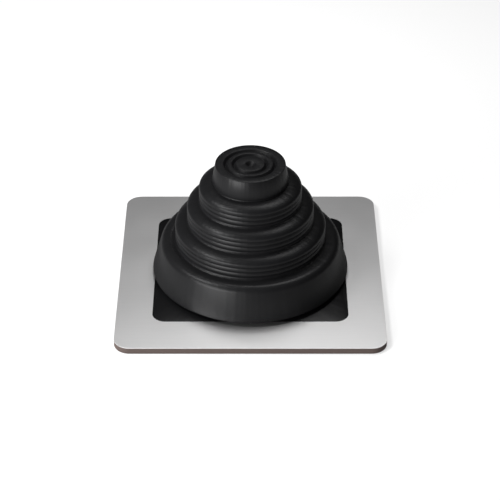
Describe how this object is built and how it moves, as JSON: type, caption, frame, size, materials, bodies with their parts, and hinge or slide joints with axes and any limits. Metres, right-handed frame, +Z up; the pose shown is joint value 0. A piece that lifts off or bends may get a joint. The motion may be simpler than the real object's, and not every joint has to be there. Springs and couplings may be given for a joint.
{
  "type": "pipe flashing boot",
  "caption": "Stepped, ribbed black rubber cone with a closed grooved top, rising through a flat square aluminium frame on a brown sealing pad; seals a round pipe through a metal roof.",
  "frame": {"origin": "middle of the sealing pad's underside, which lies on the roof", "axes": "+Z up along the cone's axis; X and Y parallel to the base's sides"},
  "size_m": [0.2032, 0.2032, 0.1023],
  "materials": {
    "epdm_rubber": "satin moulded rubber",
    "aluminium_sheet": "satin mill finish",
    "butyl_pad": "matt soft butyl"
  },
  "bodies": {
    "root": {"rubber_boot": "epdm_rubber", "aluminium_frame": "aluminium_sheet", "sealing_pad": "butyl_pad"}
  },
  "joints": []
}
